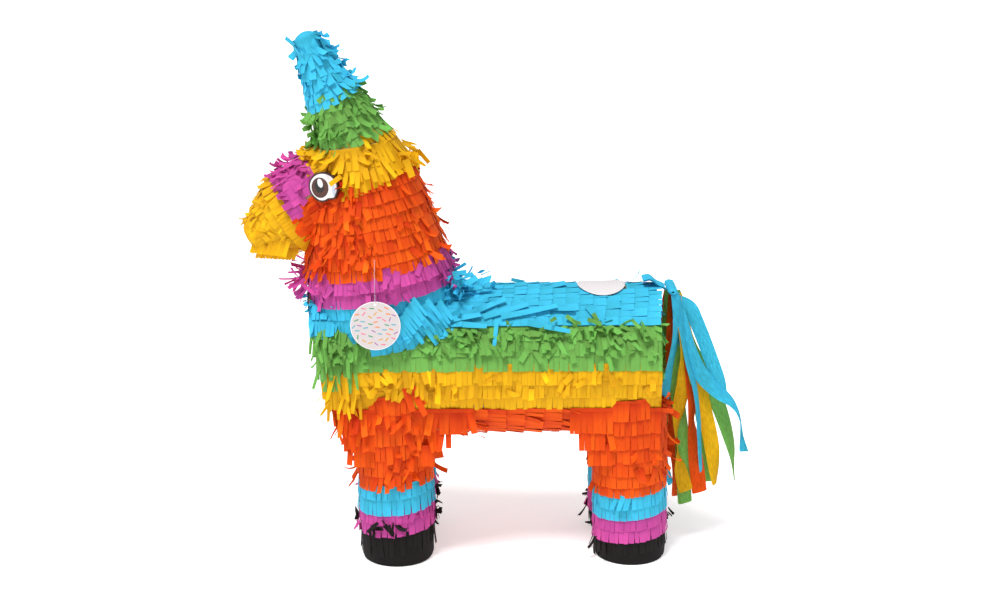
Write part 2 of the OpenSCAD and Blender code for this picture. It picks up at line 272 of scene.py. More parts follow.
class Paper:
    """Gathers paper sheets, each a grid of points, into one mesh."""

    def __init__(self):
        self.points, self.quads, self.lays, self.tones_and_painted_shades = [], [], [], []
        self.count = 0

    def add(self, grid, lay, tone_and_painted_shade):
        """grid: (sheets, rows, columns, 3) points. lay: the same with 2 flat sizes. The brightness, one per
        sheet or row: the sheet's own tone times any painted shade or light."""
        sheets, rows, cols = grid.shape[:3]
        tone_and_painted_shade = np.broadcast_to(tone_and_painted_shade.reshape(sheets, -1, 1), (sheets, rows, cols))
        first = self.count + np.arange(sheets)[:, None, None] * rows * cols
        corner = first + (np.arange(rows - 1)[:, None] * cols + np.arange(cols - 1)[None, :])[None]
        quads = np.stack([corner, corner + 1, corner + cols + 1, corner + cols], axis=-1)
        self.points.append(grid.reshape(-1, 3))
        self.quads.append(quads.reshape(-1, 4))
        self.lays.append(lay.reshape(-1, 2))
        self.tones_and_painted_shades.append(tone_and_painted_shade.ravel())
        self.count += sheets * rows * cols

    def add_sheet(self, grid, lay, tone_and_painted_shade=1.0):
        """One sheet from its (rows, columns, 3) points."""
        self.add(grid[None], lay[None], np.array([tone_and_painted_shade]))

    def make(self, name, materials, body, replaces):
        points = np.concatenate(self.points)
        points[:, 2] = np.maximum(points[:, 2], FLOOR_GAP)
        loose = np.maximum(np.abs(points[:, 1]) - LOOSE_Y, 0)
        points[:, 1] -= np.sign(points[:, 1]) * loose * LOOSE_PRESS
        quads = np.concatenate(self.quads)
        mesh = bpy.data.meshes.new(name)
        mesh.from_pydata((points * MM).tolist(), [], quads.tolist())
        mesh.polygons.foreach_set("use_smooth", np.ones(len(quads), dtype=bool))
        # each point's brightness: the sheet's own tone times any painted shade or light
        tone_and_painted_shade = mesh.attributes.new("tone_and_painted_shade", "FLOAT", "POINT")
        tone_and_painted_shade.data.foreach_set("value", np.concatenate(self.tones_and_painted_shades).astype(np.float32))
        flat = mesh.uv_layers.new(name="lay")
        flat.data.foreach_set("uv", np.concatenate(self.lays)[quads.ravel()].astype(np.float32).ravel())
        return finish_piece(mesh, name, materials, body, replaces)

    def make_crepe(self, node, colour, body="donkey"):
        """The crepe piece that stands for one node of the frame."""
        return self.make(f"{node}_crepe", [CREPE[colour]], body, [node])


def add_object(name, data):
    thing = bpy.data.objects.new(name, data)
    bpy.context.scene.collection.objects.link(thing)
    return thing


def finish_piece(mesh, name, materials, body, replaces):
    for material in materials:
        mesh.materials.append(material)
    mesh.update()
    piece = add_object(name, mesh)
    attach(piece, body)
    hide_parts(*replaces)
    return piece


def weld(piece):
    """Joins the points that lie on each other, so that a closed form has no seam."""
    shape = bmesh.new()
    shape.from_mesh(piece.data)
    bmesh.ops.remove_doubles(shape, verts=shape.verts, dist=0.01 * MM)
    shape.to_mesh(piece.data)
    shape.free()


def soften(piece):
    smooth = piece.modifiers.new("smooth", "SUBSURF")
    smooth.levels = smooth.render_levels = 1


def stacked(*parts):
    """Points or directions from their parts, each a number or an array."""
    return np.stack(np.broadcast_arrays(*parts), -1)


def swung(a, b, angle):
    """Directions turned from a towards b by an angle each."""
    return a * np.cos(angle)[:, None] + b * np.sin(angle)[:, None]


def unit(vectors):
    return vectors / np.linalg.norm(vectors, axis=-1, keepdims=True)


def column(values, n):
    return np.broadcast_to(np.asarray(values, dtype=float), n)[:, None]


def drift(n, span=3):
    """Smooth random values along a row, about one in size: neighbours lean together."""
    raw = rng.normal(0, 1, n + 2 * span)
    kernel = np.hanning(2 * span + 1)
    return np.convolve(raw, kernel / np.sqrt((kernel**2).sum()), mode="valid")[:n]


def unruliness(n, mess):
    """How far each tab has left its place, from 0: clumps of tabs, more of them as mess goes from 0 to 1."""
    return np.clip(0.85 * drift(n) + 0.45 * rng.normal(0, 1, n) + 2.5 * mess - 1.65, 0, 1.3)


def lay_tabs(paper, at, normal, down, width, length, mess, bend=0.0, taper=0.05, base=GLUED, shade=1.0,
             flare=0.0, lift=3.5):
    """Adds one cut tab at each point. It starts along down, close to the surface, and curls as mess says.
    bend is the surface's own curvature along down, in 1/mm. flare lifts the tips and lift the roots, in
    degrees. base is the height of the glued edge and taper the share of the width lost at the tip."""
    n = len(at)
    if n == 0:
        return
    wild = unruliness(n, np.broadcast_to(np.asarray(mess, dtype=float), n))
    width = np.broadcast_to(np.asarray(width, dtype=float), n)
    together = drift(n)

    def spread(neat, added):
        return rng.normal(0, 1, n) * (neat + added * wild)

    yaw = np.radians(spread(*YAW) + together * LEAN_TOGETHER * wild)
    rise = np.radians(np.clip(lift + spread(*RISE) + 9 * wild, 0.8, 50))
    curl = np.radians(1.5 + flare + spread(*CURL) + 12 * wild + drift(n) * 12 * wild)
    roll = np.radians(spread(*ROLL))
    cup = (0.12 + 0.6 * wild) * np.where(rng.random(n) < 0.6, 1, -0.8) * rng.uniform(0.3, 1.3, n)
    length = length * np.clip(1 + spread(*LENGTH_SPREAD), 0.6, 1.3)
    slant = spread(*SLANT_SPREAD) * width
    side = np.cross(normal, down)
    ahead = swung(down, side, yaw)
    broad = np.cross(normal, ahead)
    centre = at + normal * column(base + rng.uniform(-0.08, 0.12, n), n)
    shift = rng.uniform(0, 400, n)
    rows, lays = [], []
    for k in range(TAB_STEPS + 1):
        t = k / TAB_STEPS
        angle = rise + curl * t - bend * length * t
        heading = swung(ahead, normal, angle)
        upward = swung(normal, -ahead, angle)
        if k:
            centre = centre + heading * column(length / TAB_STEPS, n)
        across = swung(broad, upward, roll * t)
        outward = swung(upward, -broad, roll * t)
        half = across * column(width / 2 * (1 - taper * t**1.5), n)
        sag = outward * column(cup * (0.2 + 0.8 * t), n)
        skew = heading * column(slant * t, n)
        rows.append(np.stack([centre - half - sag - skew, centre, centre + half - sag + skew], 1))
        flat = stacked(shift - width / 2, shift, shift + width / 2)
        lays.append(stacked(flat, (shift + length * t)[:, None]))
    # each tab's own tone differs at random; on wild tabs the spread is wider and a little lighter, painted
    # light and shade for crumpled paper
    tone_and_painted_shade = rng.normal(1, 0.055, n) + rng.normal(0.03, 0.12, n) * wild + together * 0.03
    tone_and_painted_shade = shade * np.clip(tone_and_painted_shade, 0.7, 1.35)
    # each tab's tone times painted shade at its root and painted light at its tip
    paper.add(np.stack(rows, 1), np.stack(lays, 1), tone_and_painted_shade[:, None] * np.array(TAB_PAINTED_SHADE))


def lay_margin(paper, points, normals, downs, pitch, bend, shade, base):
    """The uncut part of a strip, glued flat, and the paper that shows between its tabs, darkened as painted
    shade.
    """
    rows, lays = [], []
    run = run_along(points)
    for share, under in MARGIN:
        far = share * pitch
        rows.append(points + downs * far + normals * (base - under - bend * far**2 / 2))
        lays.append(stacked(run, far))
    paper.add_sheet(np.stack(rows), np.stack(lays), shade * MARGIN_PAINTED_SHADE)


def run_along(points):
    """Distance of each point from the first, along the line."""
    return np.concatenate([[0], np.cumsum(np.linalg.norm(np.diff(points, axis=0), axis=1))])


def runs(mask):
    """Index runs where mask holds."""
    breaks = np.flatnonzero(np.diff(mask.astype(int))) + 1
    return [part for part in np.split(np.arange(len(mask)), breaks) if mask[part[0]] and len(part) > 1]


def anywhere(points):
    return np.ones(len(points), bool)


def lay_row(paper, line, pitch, mess=0.3, keep=anywhere, width=TAB_W, reach=REACH, bend=0.0, margin=True,
            shade=1.0, swell=1.03, base=GLUED, **tab):
    """One strip of fringe along a line of (points, normals, downs), where keep(points) allows it.
    pitch is the depth to the next row. swell over 1 makes neighbouring tabs overlap."""
    points, normals, downs = line
    shade = shade * rng.uniform(0.97, 1.03)
    if margin:
        allowed = keep(points) & ~over_hole(points + downs * pitch, STICKER_R - 6)
        for part in runs(allowed):
            lay_margin(paper, points[part], normals[part], downs[part], pitch, bend, shade, base)
    run = run_along(points)
    count = max(1, int(run[-1] / width))
    cuts = np.concatenate([[0], np.cumsum(rng.uniform(0.72, 1.28, count))])
    cuts *= run[-1] / cuts[-1]
    centres = (cuts[1:] + cuts[:-1]) / 2

    def along(values):
        return np.stack([np.interp(centres, run, values[:, i]) for i in range(3)], -1)

    at, normal, down = along(points), unit(along(normals)), unit(along(downs))
    wildness = mess(at) if callable(mess) else np.full(count, mess)
    lengths = room_for(at, down, pitch * reach)
    widths = np.diff(cuts) * swell - TAB_GAP
    kept = keep(at) & (lengths > SHORTEST_TAB)
    lay_tabs(paper, at[kept], normal[kept], down[kept], widths[kept], lengths[kept], wildness[kept],
             bend=bend, shade=shade, base=base, **tab)


def room_for(at, down, length):
    """How long each tab may be before it would cover an eye or the filling hole."""
    steps = np.linspace(0, 1, 12)
    reached = at[None] + down[None] * (length * steps)[:, None, None]
    gap = reached - EYE_AT * [1, 0, 1]
    wide, tall = EYE_HALF[0] + EYE_CLEAR, EYE_HALF[1] + EYE_CLEAR
    over = (gap[..., 0] / wide) ** 2 + (gap[..., 2] / tall) ** 2 < 1
    over &= np.abs(gap[..., 1]) > EYE_AT[1] - 25
    over |= over_hole(reached, STICKER_R - HOLE_CLEAR)
    return np.where(over.any(0), length * steps[over.argmax(0)], length)


def over_hole(p, radius):
    """True for each point on the back within radius of the filling hole's centre."""
    return (np.hypot(p[..., 0] - FILL_AT[0], p[..., 1] - FILL_AT[1]) < radius) & (p[..., 2] > BODY_Z)


# ---- the card surfaces that the strips are glued to


class Tube:
    """A round tube or cone on a leaning centre line. radius is a list of (distance, radius) stops."""

    def __init__(self, origin, lean, stops):
        self.origin = np.array(origin, dtype=float)
        self.axis = np.array([-math.sin(lean), 0, math.cos(lean)])
        self.forward = np.array([math.cos(lean), 0, math.sin(lean)])
        self.stops = np.array(stops, dtype=float)

    def radius(self, s):
        return np.interp(s, self.stops[:, 0], self.stops[:, 1])

    def ring(self, s, toward=-1, start=0.0, turn=2 * math.pi, samples=150, tilt=0.0):
        """A ring at distance s, with tabs pointing along the axis (toward 1) or against it (-1)."""
        a = start + np.linspace(0, turn, samples)
        radial = swung(self.forward, NEAR, a)
        s = s + tilt * np.cos(a)
        slope = (self.radius(s + 1) - self.radius(s - 1))[:, None] / 2
        points = self.origin + self.axis * s[:, None] + radial * self.radius(s)[:, None]
        downs = unit(self.axis + radial * slope) * toward
        normals = unit(radial - self.axis * slope)
        return points, normals, downs

    def turn(self, points):
        """Angle of each point round the centre line, in degrees from the side that faces forward."""
        gap = points - self.origin
        return np.degrees(np.arctan2(np.abs(gap[:, 1]), gap @ self.forward))

    def clear(self, points, low, high, margin=0.0):
        """True for each point that isn't inside the tube between two distances, by more than margin."""
        gap = points - self.origin
        s = gap @ self.axis
        out = np.linalg.norm(gap - s[:, None] * self.axis, axis=1)
        return (self.radius(s) - out < margin) | (s < low) | (s > high)


NECK_FOOT = -110
HEAD_TOP = 124.0
EAR_TOP = 112.0
MUZZLE_END = 50.0
NECK = Tube((-127.5, 0, 314), math.radians(9.2),
            [(NECK_FOOT, 74), (-12, 74), (67, 60.5), (104, 49), (HEAD_TOP, 40.5)])
EAR = Tube((-146, 0, 430), math.radians(24), [(-40, 38.5), (0, 38.5), (EAR_TOP, 12.5)])
MUZZLE = Tube((-214, 0, 361), math.radians(124), [(-70, 43), (0, 43), (MUZZLE_END, 16)])
LEG_LEAN = math.radians(1.2)
LEGS = {name: Tube((*at, 0), LEG_LEAN, [(0, LEG_R), (200, LEG_R)]) for name, at in LEG_AT.items()}


def sheet_line(points, normal, down):
    """A line whose normals and tab directions are the same all along."""
    normals, downs = (np.repeat(np.array([v], dtype=float), len(points), 0) for v in (normal, down))
    return points, normals, downs


def side_line(side, angle, x0, x1):
    """A line along the body at an angle above its waist. side is -1 near, 1 far."""
    x = np.linspace(x0, x1, max(2, int(abs(x1 - x0) / LINE_STEP)))
    out = (0, side * math.cos(angle), math.sin(angle))
    points = stacked(x, out[1] * BODY_R, out[2] * BODY_R)
    return sheet_line(points + [0, 0, BODY_Z], out, (0, side * math.sin(angle), -math.cos(angle)))


def hoop_line(x, angle0, angle1, lean=0.0):
    """A line across the body from one angle to another, tabs towards the rump. Angles start at the near
    waist. Its middle is lean further towards the rump than its ends."""
    a = np.linspace(angle0, angle1, max(2, int(abs(angle1 - angle0) * BODY_R / LINE_STEP)))
    normals = stacked(0, -np.cos(a), np.sin(a))
    low = abs(math.sin(angle0))
    shift = lean * (np.abs(np.sin(a)) - low) / (1 - low)
    points = normals * BODY_R + stacked(x + shift, 0, BODY_Z)
    return points, normals, np.repeat(np.array([[1.0, 0, 0]]), len(a), 0)


def straight_line(a, b, down, normal):
    """A straight line from a to b, with tabs along down and facing normal."""
    a, b = np.array(a, dtype=float), np.array(b, dtype=float)
    t = np.linspace(0, 1, max(2, int(np.linalg.norm(b - a) / LINE_STEP)))[:, None]
    down = unit(np.array(down, dtype=float))
    normal = np.array(normal, dtype=float)
    normal = unit(normal - down * (normal @ down))
    return sheet_line(a + (b - a) * t, normal, down)


def chest_x_at(z):
    return CHEST_X - math.tan(CHEST_LEAN) * (z - BODY_Z)


def end_line(z, chest):
    """A row across the chest or the rump at height z. Its ends follow the round edge to the next row."""
    low = min(max(z - END_PITCH, BODY_Z), z)
    half = math.sqrt(BODY_R**2 - (low - BODY_Z) ** 2) - 0.5
    y = np.linspace(-half, half, max(6, int(half)))
    z = np.minimum(z, BODY_Z + np.sqrt(BODY_R**2 - y**2) - 0.5)
    if not chest:
        return sheet_line(stacked(RUMP_X, y, z), (1, 0, 0), (0, 0, -1))
    c, s = math.cos(CHEST_LEAN), math.sin(CHEST_LEAN)
    return sheet_line(stacked(chest_x_at(z), y, z), (-c, 0, -s), (s, 0, -c))


def height_angle(z):
    """Angle above the body's waist where its surface reaches a height."""
    return math.asin((z - BODY_Z) / (BODY_R + 2))


# ---- where strips may start


def off_neck(p):
    return NECK.clear(p, NECK_FOOT, HEAD_TOP + 4, margin=4)


def off_head(p):
    return NECK.clear(p, NECK_FOOT, HEAD_TOP, margin=-1)


def off_body(p):
    ahead = p[:, 0] < chest_x_at(p[:, 2]) + 1
    behind = (p[:, 0] > RUMP_X) & (p[:, 2] < LEG_TOP + 1)
    return ahead | behind | (np.hypot(p[:, 1], p[:, 2] - BODY_Z) > BODY_R - 4)


def off_legs(p):
    clear = np.ones(len(p), bool)
    for at in LEG_AT.values():
        clear &= (np.hypot(p[:, 0] - at[0], p[:, 1] - at[1]) > LEG_R - 1) | (p[:, 2] > LEG_TOP)
    return clear


def off_fill(p):
    return np.hypot(p[:, 0] - FILL_AT[0], p[:, 1] - FILL_AT[1]) > STICKER_R - 5


def off_muzzle(p):
    return MUZZLE.clear(p, -60, MUZZLE_END, margin=5)


def every(*tests):
    return lambda p: np.logical_and.reduce([test(p) for test in tests])


def between(low, high):
    return lambda p: (p[:, 2] >= low) & (p[:, 2] < high)


def stepped(start, step, stop):
    """Evenly spaced values from start by step, up to but without stop."""
    return [start + i * step for i in range(max(0, math.ceil((stop - start) / step - 1e-6)))]


def ruffle(paper, tube, low, high, count, length, start=0.0, turn=360.0, keep=anywhere, width=TAB_W,
           base=2.4, swing=0.8, toward=-1):
    """Loose tabs scattered over a tube between two distances, each swung out of its row."""
    points, normals, downs = [], [], []
    for s, a in zip(rng.uniform(low, high, count), rng.uniform(start, start + turn, count)):
        ring = tube.ring(s, toward=toward, start=math.radians(a), turn=0.01, samples=2)
        for found, gathered in zip(ring, (points, normals, downs)):
            gathered.append(found[0])
    points, normals, downs = np.array(points), np.array(normals), np.array(downs)
    angle = rng.normal(0, swing, count)
    downs = swung(downs, np.cross(normals, downs), angle)
    lengths = room_for(points, downs, length)
    kept = keep(points) & (lengths > 2 * SHORTEST_TAB)
    lay_tabs(paper, points[kept], normals[kept], downs[kept], width * rng.uniform(0.7, 1.3, kept.sum()),
             lengths[kept], LOOSE_MESS, base=base)


# ---- fringe on the body

BLUE_PITCH = 14.3
BLUE_W = 8.6
SIDE_ROWS = 3
END_PITCH = 13.0
BELLY_PITCH = 19.0
TOP_Z = 400  # above every row on the body
SKIRT_Z = 246  # where the blue of the neck's foot turns to green


def patches(calm, *spots):
    """Mess that rises from calm round each (x, half width, rise) along the object."""
    return lambda p: calm + sum(rise * np.exp(-(((p[:, 0] - x) / half) ** 2)) for x, half, rise in spots)


def ends_rows(paper, low, high, mess):
    """Rows on the chest and the rump between two heights."""
    for chest in (True, False):
        for z in stepped(BODY_Z + BODY_R - 2, -END_PITCH, BODY_Z - BODY_R + 8):
            if low <= z < high:
                lay_row(paper, end_line(z, chest), END_PITCH, mess=mess, width=4.6 if chest else TAB_W,
                        reach=1.9 if chest else REACH)


def side_rows(paper, high, low, messes):
    """Rows along both sides between two heights, the highest first."""
    a0, a1 = height_angle(high), height_angle(low)
    pitch = (a0 - a1) * BODY_R / SIDE_ROWS
    for side in SIDES:
        for k, mess in enumerate(messes):
            angle = a0 + (a1 - a0) * (k - 0.12) / SIDE_ROWS
            z = BODY_Z + BODY_R * math.sin(angle)
            lay_row(paper, side_line(side, angle, chest_x_at(z), RUMP_X + 2), pitch, mess=mess,
                    keep=every(off_neck, off_legs), bend=1 / BODY_R)


def loose_sides(paper, high, low, count, length):
    """Loose tabs scattered along both sides between two heights, each swung out of its row."""
    for side in SIDES:
        angle = np.arcsin((rng.uniform(low, high, count) - BODY_Z) / BODY_R)
        x = rng.uniform(chest_x_at(BODY_Z) + 4, RUMP_X - 4, count)
        normals = stacked(0, side * np.cos(angle), np.sin(angle))
        points = normals * BODY_R + stacked(x, 0, BODY_Z)
        turn = rng.normal(0, 0.6, count)
        level = np.cos(turn)
        downs = stacked(np.sin(turn), level * side * np.sin(angle), -level * np.cos(angle))
        clear = off_neck(points)
        widths = TAB_W * rng.uniform(0.7, 1.2, clear.sum())
        lay_tabs(paper, points[clear], normals[clear], downs[clear], widths, length, LOOSE_MESS, base=2.6)


def chest_strings(paper, heights, deep=38, length=27):
    """Thin stringy tabs that hang down both sides at the chest's edge."""
    for side in SIDES:
        for z in heights:
            angle = math.asin((z - BODY_Z) / BODY_R)
            x = chest_x_at(z) - 1
            lay_row(paper, side_line(side, angle, x, x + deep), length, mess=0.8, width=4.0, reach=1.0,
                    bend=0.6 / BODY_R, margin=False, base=2.2, shade=0.96, taper=0.2)


def long_strips(paper, strips, width):
    """Single long strips that lie over the near side, each from a point to a point."""
    for a, b in strips:
        a, b = np.array(a, dtype=float), np.array(b, dtype=float)
        out = unit(np.array([[0, a[1], a[2] - BODY_Z]]))
        lay_tabs(paper, a[None], out, unit((b - a)[None]), width, np.linalg.norm(b - a), 0.35, base=0.4,
                 lift=1.0, taper=0.3)


def tufts(paper, middle_at, spread, aim, count, length, width=4.6):
    """Loose crumpled tabs round a point, pointing roughly along aim."""
    at = np.array(middle_at) + rng.normal(0, 1, (count, 3)) * spread
    down = unit(np.array(aim) + rng.normal(0, 0.55, (count, 3)))
    normal = unit(np.cross(down, rng.normal(0, 1, (count, 3))))
    lay_tabs(paper, at, normal, down, width * rng.uniform(0.7, 1.2, count), length, 1.1, base=0)


BACK_STRIPS = (
    # from, to
    ((-41, -55, 265), (5, -38, 277)),
    ((-18, -55, 265), (27, -42, 274)),
    ((0, -55, 265), (57, -47, 271)),
    ((27, -60, 260), (72, -66, 253)),
    ((-60, -58, 262), (-20, -54, 266)),
    ((40, -46, 272), (76, -50, 269)),
    ((-45, -60, 259), (-14, -63, 257)),
    ((88, -44, 273), (100, -60, 261)),
)
SHOULDER_ROWS = ((0.08, 0.7), (0.26, 0.4), (0.46, 0.4))  # angle above the blue's lower edge, mess
SHOULDER_FANS = (
    # from, to, on the far side
    ((-108, 77, 262), (-88, 71, 292)),
    ((-94, 73, 260), (-74, 65, 289)),
    ((-80, 69, 258), (-62, 56, 285)),
)
BACK_TUFTS = (
    # middle, spread, aim, count, length, width
    ((-44, -22, 294), (9, 14, 5), (0.6, -0.2, 0.2), 40, 14, 6.0),
    ((-30, -5, 284), (14, 16, 2), (0.8, -0.2, 0.15), 18, 13, 4.6),
    ((-66, -38, 284), (4, 5, 7), (0.7, -0.3, -0.3), 16, 15, 4.6),
)


def back_lean(x):
    """How far the middle of a row across the back is behind its ends: less and less away from the neck."""
    return 6 + 10 * math.exp(-(x + 40) / 40) if x > -60 else 22


def make_back_blue():
    """Rows across the back, with long strips over them, and fans of tabs on the shoulders."""
    paper = Paper()
    start = height_angle(BLUE_Z - 1)
    mess = patches(0.04, (-52, 22, 0.5), (155, 8, 0.3))
    for x in stepped(-86, BLUE_PITCH, RUMP_X - 12):
        lay_row(paper, hoop_line(x, start, math.pi - start, lean=back_lean(x)), BLUE_PITCH, mess=mess,
                keep=every(off_neck, off_fill), width=BLUE_W, lift=2.6, base=2.4)
    long_strips(paper, BACK_STRIPS, 7.0)
    for side in SIDES:
        lay_tabs(paper, np.array([[-4.0, side * 58, 263]]), np.array([[0, side * 0.9, 0.43]]),
                 np.array([[-0.1, side * 0.5, -0.86]]), 4.2, 28, 0.2, base=3, bend=1 / BODY_R)
        for angle, mess in SHOULDER_ROWS:
            line = side_line(side, start + angle, chest_x_at(270), -44)
            lay_row(paper, line, 15, mess=mess, keep=off_neck, bend=1 / BODY_R, margin=False, base=1.6)
        for a, b in np.array(SHOULDER_FANS) * [1, side, 1]:
            line = straight_line(a, b, (0.54, -0.10 * side, -0.83), (0.15, side, 0.25))
            lay_row(paper, line, 18, mess=0.45, width=4.8, margin=False, base=3.6, reach=1.3, taper=0.3)
    for tuft in BACK_TUFTS:
        tufts(paper, *tuft)
    ends_rows(paper, BLUE_Z, TOP_Z, 0.45)
    chest_strings(paper, (272, 262), deep=30, length=22)
    paper.make_crepe("back_blue", "blue")


def make_body_green():
    paper = Paper()
    side_rows(paper, BLUE_Z, GREEN_Z, (0.9, patches(0.62, (-20, 25, 0.3), (140, 30, 0.4)),
                                       patches(0.25, (158, 9, 0.4))))
    ends_rows(paper, GREEN_Z, BLUE_Z, 0.6)
    skirt_rows(paper, GREEN_Z, SKIRT_Z)
    loose_sides(paper, BLUE_Z - 2, GREEN_Z + 18, 120, 14)
    chest_strings(paper, (254, 243, 232, 221))
    tufts(paper, (92, -57, 260), (45, 3, 3), (0, -0.75, -0.5), 34, 15)
    paper.make_crepe("body_green", "green")


def make_body_yellow():
    paper = Paper()
    busy, torn = (-62, 32, 0.55), (98, 26, 0.7)
    ragged_end = (158, 8, 0.4)
    side_rows(paper, GREEN_Z, YELLOW_Z, (patches(0.25, busy, torn, ragged_end),
                                         patches(0.2, busy, torn, ragged_end), patches(0.1, ragged_end)))
    ends_rows(paper, YELLOW_Z, GREEN_Z, 0.5)
    loose_sides(paper, GREEN_Z - 2, YELLOW_Z + 20, 26, 13)
    chest_strings(paper, (212, 200, 188), deep=34)
    paper.make_crepe("body_yellow", "yellow")


GUSSETS = (
    # height, depth from the middle, how far past a front and a hind leg
    (168, 69.5, 45, 32),
    (150, 69.0, 22, 23),
    (133, 68.0, 5, 13),
)
GUSSET_PITCH = 18.5
SHOULDER_TABS = (
    # where three loose tabs over the front leg start, and where they point
    ((-97.0, 75, 197), (-92.0, 75, 201), (-88, 76, 192)),
    ((0.3, 0, -1), (0.5, 0, -0.8), (-0.1, 0, -1)),
)


def make_belly_orange():
    """Strips across the belly between stepped curtains of upright fringe above each leg."""
    paper = Paper()
    top = height_angle(YELLOW_Z + 1)
    for x in stepped(-152, BELLY_PITCH, RUMP_X - 6):
        line = hoop_line(x, top - 0.03, -math.pi - top)
        lay_row(paper, line, BELLY_PITCH, mess=patches(0.1, (-40, 22, 0.4)), keep=off_legs, width=6.0)
    front, hind = LEG_AT["front_near"][0], LEG_AT["hind_near"][0]
    for side in SIDES:
        for z, y, past_front, past_hind in GUSSETS:
            spans = ((chest_x_at(z) + 4, front + LEG_R + past_front), (hind - LEG_R - past_hind, RUMP_X + 2))
            for (x0, x1), mess in zip(spans, (0.6, 0.22)):
                line = straight_line((x0, side * y, z), (x1, side * y, z), (0, 0, -1), (0, side, 0))
                lay_row(paper, line, GUSSET_PITCH, mess=mess, reach=1.22, base=2.6, margin=z > 160)
        at, down = SHOULDER_TABS
        lay_tabs(paper, np.array(at) * [1, side, 1], np.array([[0, side, 0.1]] * len(at)),
                 unit(np.array(down)), 7.0, 26, 0.5, base=3.5)
    ends_rows(paper, 100, YELLOW_Z, 0.5)
    for side in SIDES:
        line = straight_line((RUMP_X + 1, side * 14, 172), (RUMP_X + 1, side * 62, 172), (0.8, 0, -0.6),
                             (0.6, 0, 0.8))
        lay_row(paper, line, 17, mess=0.0, reach=1.0, base=1.2)
    chest_strings(paper, (174, 164, 152, 142), deep=30, length=25)
    paper.make_crepe("belly_orange", "orange")


# ---- fringe on the neck, head, ear and muzzle

NECK_PITCH = 12.0
SKIRT_PITCH = 13.0


def skirt_rows(paper, low, high):
    """Rows round the foot of the neck, outside the body, between two heights."""
    for s in stepped(-27, -SKIRT_PITCH, -104):
        lay_row(paper, NECK.ring(s), SKIRT_PITCH, mess=0.42, keep=every(off_body, between(low, high)))


def muzzle_row(paper, s, pitch, keep=anywhere, samples=110, **settings):
    lay_row(paper, MUZZLE.ring(s, toward=1, samples=samples), pitch, keep=keep, **settings)


def make_neck_blue():
    paper = Paper()
    skirt_rows(paper, SKIRT_Z, TOP_Z)
    ruffle(paper, NECK, -64, -30, 60, 14, keep=every(off_body, between(SKIRT_Z, TOP_Z)), swing=0.6, base=1.6)
    paper.make_crepe("neck_blue", "blue")


def make_neck_magenta():
    paper = Paper()
    for s, mess in ((0, 0.5), (-14, 0.35)):
        lay_row(paper, NECK.ring(s), 15, mess=mess, keep=off_body, flare=5, reach=1.2)
    ruffle(paper, NECK, -24, -1, 54, 14, keep=off_body, swing=0.6)
    for side in SIDES:
        tufts(paper, (-62, side * 24, 300), (4, 8, 6), (0.7, 0.3 * side, 0.1), 14, 17)
        tufts(paper, (-202, side * 16, 296), (3, 14, 7), (-0.8, 0.2 * side, -0.5), 20, 16)
    paper.make_crepe("neck_magenta", "magenta")


def make_neck_orange():
    """Neck rows, neat at the back and untidy at the throat, and the muzzle's root beside the eyes."""
    paper = Paper()
    mess = patches(0.3, (-175, 44, 0.6), (-66, 16, 0.4))
    for s in stepped(94, -NECK_PITCH, 6):
        lay_row(paper, NECK.ring(s), NECK_PITCH, mess=mess, keep=off_muzzle, reach=1.35, width=5.4)
    for s in (-48, -37, -26, -15):
        muzzle_row(paper, s, 11, mess=0.5, keep=every(off_neck, beside_nose(s)))
    ruffle(paper, NECK, 14, 88, 90, 15, start=88, turn=184, keep=off_muzzle, swing=0.55)
    ruffle(paper, NECK, 14, 88, 26, 13, start=-88, turn=176, swing=0.4)
    paper.make_crepe("neck_orange", "orange")


HEAD_ROWS = ((92, 15, 14), (99, 20, 11), (106, 25, 7), (114, 25, 3), (121, 21, 0))  # distance, length, tilt


def make_head_yellow():
    """Long ragged tabs that fan out from under the ear, neat at the back of the head."""
    paper = Paper()
    mess = patches(0.35, (-175, 32, 0.35))
    for s, length, tilt in HEAD_ROWS:
        lay_row(paper, NECK.ring(s, tilt=tilt), 11, mess=mess, keep=off_muzzle, reach=length / 11,
                width=5.8, taper=0.3)
    for s in (-66, -57):
        muzzle_row(paper, s, 11, mess=0.6, keep=every(off_neck, on_nose(s)), reach=1.3)
    lay_row(paper, EAR.ring(11, samples=110), 13, mess=0.6, flare=6, reach=1.3)
    ruffle(paper, NECK, 96, 120, 34, 16, keep=off_muzzle, swing=0.5)
    for side in SIDES:
        tufts(paper, (-189, side * 18, 426), (5, 10, 4), (-0.5, 0.4 * side, -0.9), 14, 12)
        tufts(paper, (-96, side * 26, 424), (6, 8, 4), (0.45, 0.3 * side, -0.9), 8, 19, width=6)
    lay_tabs(paper, np.array([[-157.0, -57.0, 411.0]]), np.array([[-0.3, -1, 0.2]]),
             unit(np.array([[-0.62, 0.06, -0.6]])), 4.6, 15, 0.1, base=4)
    paper.make_crepe("head_yellow", "yellow")


def nose_span(s):
    """How far round the muzzle, in degrees from its top, the magenta patch reaches."""
    return 78 if s < -20 else 92


def beside_nose(s):
    return lambda p: MUZZLE.turn(p) >= nose_span(s)


def on_nose(s):
    return lambda p: MUZZLE.turn(p) < nose_span(s)


def make_nose_magenta():
    paper = Paper()
    for s in (-47, -37, -27, -18):
        muzzle_row(paper, s, 10, mess=0.75, keep=every(off_neck, on_nose(s)), reach=1.3, base=1.8, swell=1.08)
    ruffle(paper, MUZZLE, -44, -14, 40, 11, start=-80, turn=160, keep=off_neck, toward=1, swing=1.0)
    tufts(paper, (-214, -12, 404), (9, 12, 3), (-0.5, 0, 0.8), 16, 12, width=2.6)
    paper.make_crepe("nose_magenta", "magenta")


LIP_ROWS = (
    # front end, back end, length of the tabs, on the far side
    ((-250, 13, 341), (-211, 38, 343), 19),
    ((-247, 10, 328), (-205, 27, 330), 12),
)


